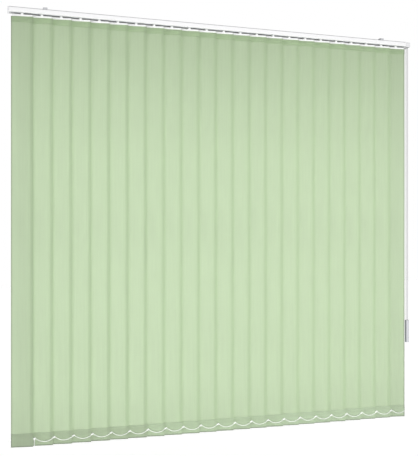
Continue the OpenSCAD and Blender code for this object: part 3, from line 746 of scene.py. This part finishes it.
def draw_cord_run():
    """Draw cord inside the headrail, round its posts and the return pulley."""
    pulley_x, _, pulley_z = joints["return_pulley_turn"]["pos_m"]
    upper = (rail_corner.x + STRAND_FRONT - POST_BEND_R, pulley_z + PULLEY_R - POST_BEND_R)
    lower = (rail_corner.x + STRAND_BACK - POST_BEND_R, pulley_z - PULLEY_R - POST_BEND_R)
    foot = rail_corner.z + DRAW_ROUTE[0][2]
    way = [(rail_corner.x + STRAND_FRONT, foot)]
    way += arc(*upper, POST_BEND_R, 0, 90, POST_STEPS)
    way += arc(pulley_x, pulley_z, PULLEY_R, 90, 270, PULLEY_STEPS)
    way += arc(*lower, POST_BEND_R, 90, 0, POST_STEPS)
    way += [(rail_corner.x + STRAND_BACK, foot)]
    line = [(x, CORD_Y, z) for x, z in way]
    run = add_piece("draw_cord_in_rail", *tube(line, CORD_D / 2, CORD_SIDES), cord_braid)
    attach(run, "headrail")
    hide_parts("draw_cord_run")


def tilt_chain():
    """Bead chain over its wheel, hanging in a loop behind the draw cord."""
    _, y, z = joints["tilt_rod_turn"]["pos_m"]
    r = CHAIN_PATH_R
    levels = [rail_corner.z + level for level in CHAIN_LEVELS]
    way = arc(y, z, r, 90 - CHAIN_PARTING, 0, WHEEL_STEPS)
    way += [(y + r, level) for level in levels]
    way += arc(y, rail_corner.z + CHAIN_BOTTOM, r, 0, -180, LOOP_STEPS)
    way += [(y - r, level) for level in reversed(levels)]
    way += arc(y, z, r, 180, 90 + CHAIN_PARTING, WHEEL_STEPS)
    x = rail_corner.x - WHEEL_INSET
    line = [tuple(p) for p in spaced([(x, a, b) for a, b in way], TILT_STEP)]
    build = Build()
    add_beads(build, line, TILT_BEAD_R, TILT_STEP)
    chain = build.piece("tilt_bead_chain", bead_plastic)
    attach(chain, "headrail")
    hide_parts("tilt_chain")


draw_cord_drop()
draw_cord_run()
tilt_chain()

# Fabric of the slats
COLUMNS = 12
MIDDLE_ROWS = 60
POCKET_BACK_ROWS = 5
POCKET_FRONT_ROWS = 6
HEM_ROWS = 8
FOLD_STEPS = 6
CURL = 0.0008
CURL_REST = 0.4
SLACK_POWER = 0.7
SWAY = 0.0004
SWAY_WAVES = 1.4
TWIST = math.radians(0.25)
TWIST_WAVES = 0.9
TWIST_PHASE = 2.7
PHASE_STEP = 0.381966
HEM_PUFF = 0.00012


def shell(path):
    """Thin closed strip: a centreline in Y and Z, given a thickness, across the slat's width."""
    line = np.array(path, float)
    ahead = directions(line)
    normal = np.stack([-ahead[:, 1], ahead[:, 0]], axis=1) * FABRIC_T / 2
    across = np.linspace(-SLAT_W / 2, SLAT_W / 2, COLUMNS + 1)
    vertices = []
    for sign in (1, -1):
        for point in line + sign * normal:
            vertices.extend((u, point[0], point[1]) for u in across)
    return vertices, shell_faces(len(line))


def shell_faces(rows):
    """Faces of a strip of that many rows: both sides, then both edges, then both ends."""
    wide = COLUMNS + 1
    far = rows * wide
    faces = []
    for i in range(rows - 1):
        for j in range(COLUMNS):
            a = i * wide + j
            quad = (a, a + 1, a + wide + 1, a + wide)
            faces.append(quad)
            faces.append(tuple(far + q for q in reversed(quad)))
        for a in (i * wide, i * wide + COLUMNS):
            faces.append((a, a + wide, far + a + wide, far + a))
    for start in (0, (rows - 1) * wide):
        for a in range(start, start + COLUMNS):
            faces.append((a, a + 1, far + a + 1, far + a))
    return faces


def hung(vertices, phase):
    """The strip's slight curl, sway and twist between its hanger and its weight."""
    moved = []
    for u, t, z in vertices:
        share = min(1, max(0, (z - hem_top) / (pocket_foot - hem_top)))
        slack = math.sin(math.pi * share) ** SLACK_POWER
        curl = CURL * (CURL_REST - (2 * u / SLAT_W) ** 2)
        sway = SWAY * math.sin(2 * math.pi * (SWAY_WAVES * share + phase))
        twist = TWIST * math.sin(2 * math.pi * (TWIST_WAVES * share + TWIST_PHASE * phase))
        moved.append((u, t + slack * (curl + sway + math.tan(twist) * u), z))
    return moved


def long_strip():
    """Centreline of the slat from its top edge, round the bottom fold, to the weld of its hem."""
    fold_z = fabric_bottom + LAYER + FABRIC_T / 2
    front_top = hem_top - WELD_H
    levels = list(np.linspace(fabric_top, pocket_foot, POCKET_BACK_ROWS)[:-1])
    levels += list(np.linspace(hem_top, pocket_foot, MIDDLE_ROWS)[::-1])
    levels += list(np.linspace(hem_top, fold_z, HEM_ROWS)[1:-1])
    line = [(LAYER, z) for z in levels]
    line += arc(0, fold_z, LAYER, 0, -180, FOLD_STEPS)
    for share in np.linspace(0, 1, HEM_ROWS)[1:]:
        puff = HEM_PUFF * math.sin(math.pi * share)
        line.append((-LAYER - puff, fold_z + share * (front_top - fold_z)))
    line += [(-FABRIC_T, hem_top - WELD_H / 2), (LAYER - FABRIC_T, hem_top)]
    return line


def pocket_front():
    """Centreline of the pocket's front layer, down to its weld."""
    line = [(-LAYER, z) for z in np.linspace(fabric_top, pocket_foot + WELD_H, POCKET_FRONT_ROWS)]
    line += [(-FABRIC_T / 2, pocket_foot + WELD_H / 2), (LAYER - FABRIC_T, pocket_foot)]
    return line


def fabric(slat, index, material):
    """One fabric slat: a flat strip with an open pocket on top and a welded hem below."""
    build = Build()
    for path in (long_strip(), pocket_front()):
        build.add(*shell(path))
    build.vertices = hung(build.vertices, index * PHASE_STEP)
    piece = build.piece(f"fabric_{index:02d}", material, slat_matrix(slat))
    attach(piece, slat)
    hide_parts(slat)


# Hangers, stems and weights
FINE_BEVEL = 0.0001
WEIGHT_BEVEL = 0.00012
FORK_BEVEL = 0.0002
FORK_STEPS = 8
STEM_SIDES = 28


def hanger_shape():
    """Plate in the top pocket, with windows and a drilled tongue."""
    half = HANGER_W / 2
    foot = fabric_top - HANGER_IN
    inner = half - HANGER_CORNER
    tongue = TONGUE_W / 2
    outline = [(-half, foot + HANGER_CORNER), (-inner, foot), (inner, foot), (half, foot + HANGER_CORNER)]
    outline += [(half, hanger_top), (tongue, hanger_top), (tongue, hanger_top + TONGUE_UP)]
    outline += [(-tongue, hanger_top + TONGUE_UP), (-tongue, hanger_top), (-half, hanger_top)]
    outlines = [outline]
    window_h = HANGER_IN / 3
    window_low = foot + (HANGER_IN - window_h) / 2
    for ends in ((-inner, -TONGUE_W), (TONGUE_W, inner)):
        outlines.append(box_outline(*ends, window_low, window_low + window_h))
    hole_z = hanger_top + STEM_FOOT + FORK_SLOT_H / 2
    outlines.append(circle(0, hole_z, TONGUE_HOLE_R, ROUND_SIDES))
    vertices, faces = prism(outlines, HANGER_T, FINE_BEVEL)
    return stood_up(vertices), faces


def pinion_outline():
    """Flat-topped teeth round the pinion."""
    root = PINION_R - TOOTH_DEPTH
    foot_end, tip_start, tip_end = TOOTH_FLANKS
    corners = ((root, 0), (root, foot_end), (PINION_R, tip_start), (PINION_R, tip_end))
    outline = []
    for i in range(PINION_TEETH):
        for radius, share in corners:
            angle = 2 * math.pi * (i + share) / PINION_TEETH
            outline.append((radius * math.cos(angle), radius * math.sin(angle)))
    return outline


def stem_shape():
    """Turning stem: a toothed pinion above, a two-pronged fork with its cross pin below."""
    build = Build()
    foot = hanger_top + STEM_FOOT
    slot_top = foot + FORK_SLOT_H
    fork_top = foot + FORK_H
    pinion_z = rail_bottom + PINION_UP
    r = FORK_D / 2
    x = FORK_L / 2 - r
    edge = math.degrees(math.asin(FORK_SLOT_W / FORK_D))
    prong = arc(x, 0, r, edge, 90, FORK_STEPS) + arc(-x, 0, r, 90, 180 - edge, FORK_STEPS)
    other = [(-a, -b) for a, b in prong]
    whole = arc(x, 0, r, -90, 90, 2 * FORK_STEPS) + arc(-x, 0, r, 90, 270, 2 * FORK_STEPS)
    build.add_upright([prong, other], foot, slot_top, FORK_BEVEL)
    build.add_upright([whole], slot_top, fork_top, FORK_BEVEL)
    build.add_upright([circle(0, 0, STEM_R, STEM_SIDES)], fork_top, pinion_z, FINE_BEVEL)
    build.add_upright([pinion_outline()], pinion_z, pinion_z + PINION_H, FINE_BEVEL)
    pin_z = foot + FORK_SLOT_H / 2
    cross_pin = [(0, -CROSS_PIN_REACH, pin_z), (0, CROSS_PIN_REACH, pin_z)]
    build.add(*tube(cross_pin, CROSS_PIN_R, ROUND_SIDES))
    return build.vertices, build.faces


def weight_shape():
    """Flat weight in the hem, with a chain pin on a tab at each end."""
    build = Build()
    low = fabric_bottom + WEIGHT_UP
    tab_top = chain_z - TAB_BELOW
    tab_low = tab_top - TAB_H
    pin_top = tab_top + PIN_UP
    half = WEIGHT_W / 2
    right = [(half, low), (half, tab_low), (TAB_U, tab_low), (TAB_U, tab_top), (half, tab_top)]
    right += [(half, low + WEIGHT_H)]
    outline = [(-half, low)] + right + [(-x, z) for x, z in right[:0:-1]]
    vertices, faces = prism([outline], WEIGHT_T, WEIGHT_BEVEL)
    build.add(stood_up(vertices), faces)
    for u in (-TAB_U, TAB_U):
        build.add(*tube([(u, 0, tab_low), (u, 0, pin_top)], PIN_R, ROUND_SIDES))
        head = box_outline(u - 2 * PIN_R, u + 2 * PIN_R, -WEIGHT_T / 2, WEIGHT_T / 2)
        build.add_upright([head], pin_top, pin_top + PIN_HEAD_H, FINE_BEVEL)
    return build.vertices, build.faces


def hard_parts(slat, index, shapes):
    """Hanger, stem and bottom weight of a slat."""
    for name, (vertices, faces) in shapes.items():
        piece = add_piece(f"{name}_{index:02d}", vertices, faces, white_plastic, slat_matrix(slat))
        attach(piece, slat)
        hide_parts(slat)


def slat_finish(index):
    """Fabric of a slat: the two end slats are darker as painted shade, the overlaps' painted shade fades to
    the right, and the hem's painted light grows to the right.
    """
    count = len(slat_names)
    ends = {1: "first", count: "last"}
    inner = ("left", "middle", "right")[index * 3 // (count + 1)]
    return fabrics[ends.get(index, inner)]


slat_shapes = {"hanger": hanger_shape(), "stem": stem_shape(), "bottom_weight": weight_shape()}
for index, slat in enumerate(slat_names, 1):
    hard_parts(slat, index, slat_shapes)
    fabric(slat, index, slat_finish(index))

# Linking chains
SPAN_STEPS = 12


def chain_way(pins, y):
    """Points of the chain, which sags between the pins."""
    way = []
    for pin in pins[:-1]:
        for i in range(SPAN_STEPS):
            share = i / SPAN_STEPS
            drop = 4 * CHAIN_SAG * share * (1 - share)
            way.append((pin.x + share * SLAT_PITCH, y, chain_z - drop))
    way.append((pins[-1].x, y, chain_z))
    return way


def linking_chain(name, side):
    """Bead chain from weight to weight along one edge of the slats, with a clip against each pin."""
    edge = Matrix.Rotation(-CLOSED_ANGLE, 3, "Z") @ Vector((side * TAB_U, 0, 0))
    pins = [stem_place(slat) + edge for slat in slat_names]
    y = -side * CHAIN_Y
    tail_x = pins[0].x - CHAIN_TAIL_X
    tail = [(tail_x, y, chain_z - LINK_BEAD_R), (tail_x, y, chain_z - CHAIN_TAIL + LINK_BEAD_R)]
    build = Build()
    for path in (chain_way(pins, y), tail):
        add_beads(build, path, LINK_BEAD_R, LINK_STEP)
    for pin in pins:
        clip = (pin.x, y, chain_z)
        tip = (pin.x, pin.y - side * (PIN_R + CLIP_GAP), chain_z)
        build.add(*bead(clip, CLIP_BEAD_R))
        build.add(*tube([clip, tip], CLIP_R, BEAD_SEGMENTS))
    chain = build.piece(name + "_beads", bead_plastic)
    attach(chain, name)
    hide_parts(name)
    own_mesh(chain)


linking_chain("front_chain", 1)
linking_chain("back_chain", -1)

# Finishes of the solids that show as they are
weight_low, weight_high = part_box("cord_weight")
finishes = {
    "headrail": rail_coat, "control_end": cap_plastic, "return_end": cap_plastic,
    "left_bracket": clip_steel, "right_bracket": clip_steel, "tilt_rod": clip_steel,
    "chain_wheel": white_plastic, "return_pulley": white_plastic,
    "cord_weight": cord_weight_material((weight_low + weight_high) / 2)
}
for name, piece in frame["nodes"].items():
    material = carrier_plastic_painted_shade if name.startswith("carrier_") else finishes.get(name)
    if material is not None:
        piece.data.materials.clear()
        piece.data.materials.append(material)

# Studio
WHITE = (1, 1, 1, 1)
FLOOR_Z = -2.5
FLOOR_SIZE = 40
FLOOR_PALE = (0.93, 0.93, 0.93, 1)
FLOOR_DARK = (0.90, 0.90, 0.90, 1)
FLOOR_CLOUDS = 3
FLOOR_ROUGHNESS = 0.9
FLOOR_GLOW = 0.52
WORLD_SEEN = 1.0
WORLD_FRONT = 1.05
WORLD_BACK = 0.08
WORLD_BLEND = 0.3
LAMP_X = 0.05
FRONT_Z = -1.045
BACK_Z = -1.11
LAMP_AWAY = 0.42
LAMP_SIZE = (2.4, 1.8)
FRONT_WATTS = 9.7
BACK_WATTS = 6.65


def floor_material():
    """Pale matt studio floor."""
    material, tree = new_material("studio_floor")
    clouds = noise(tree, own_place(tree)[3], FLOOR_CLOUDS)
    finish_material(tree, node(tree, "BsdfPrincipled", [
        ("Base Color", mixed(tree, remap(tree, clouds, *WIDE, 0, 1), FLOOR_PALE, FLOOR_DARK)),
        ("Roughness", FLOOR_ROUGHNESS), ("Emission Color", WHITE), ("Emission Strength", FLOOR_GLOW)]))
    return material


def make_floor():
    half = FLOOR_SIZE / 2
    corners = [(x, y, FLOOR_Z) for x, y in box_outline(-half, half, -half, half)]
    floor = add_piece("studio_floor", corners, [(0, 1, 2, 3)], floor_material())


def make_world():
    """White background, whose light is about as bright in front and much dimmer behind."""
    world = bpy.data.worlds.new("studio")
    bpy.context.scene.world = world
    world.use_nodes = True
    tree = world.node_tree
    tree.nodes.clear()
    seen = node(tree, "LightPath").outputs["Is Camera Ray"]
    way = node(tree, "SeparateXYZ", [(0, node(tree, "TexCoord").outputs["Generated"])]).outputs[1]
    lit = remap(tree, way, -WORLD_BLEND, WORLD_BLEND, WORLD_FRONT, WORLD_BACK)
    strength = remap(tree, seen, 0, 1, lit, WORLD_SEEN)
    background = node(tree, "Background", [("Color", WHITE), ("Strength", strength)])
    node(tree, "OutputWorld", [("Surface", background.outputs[0])])


def make_light(name, y, z, watts):
    """Soft rectangular lamp that faces the fabric."""
    data = bpy.data.lights.new(name, "AREA")
    data.shape = "RECTANGLE"
    data.size, data.size_y = LAMP_SIZE
    data.energy = watts
    lamp = bpy.data.objects.new(name, data)
    lamp.location = (LAMP_X, y, z)
    lamp.rotation_euler = Vector((0, -y, 0)).to_track_quat("-Z", "Y").to_euler()
    lamp.visible_camera = False
    bpy.context.scene.collection.objects.link(lamp)


make_floor()
make_world()
make_light("front_softbox", -LAMP_AWAY, FRONT_Z, FRONT_WATTS)
make_light("back_softbox", LAMP_AWAY, BACK_Z, BACK_WATTS)
bpy.context.scene.view_settings.view_transform = "Standard"
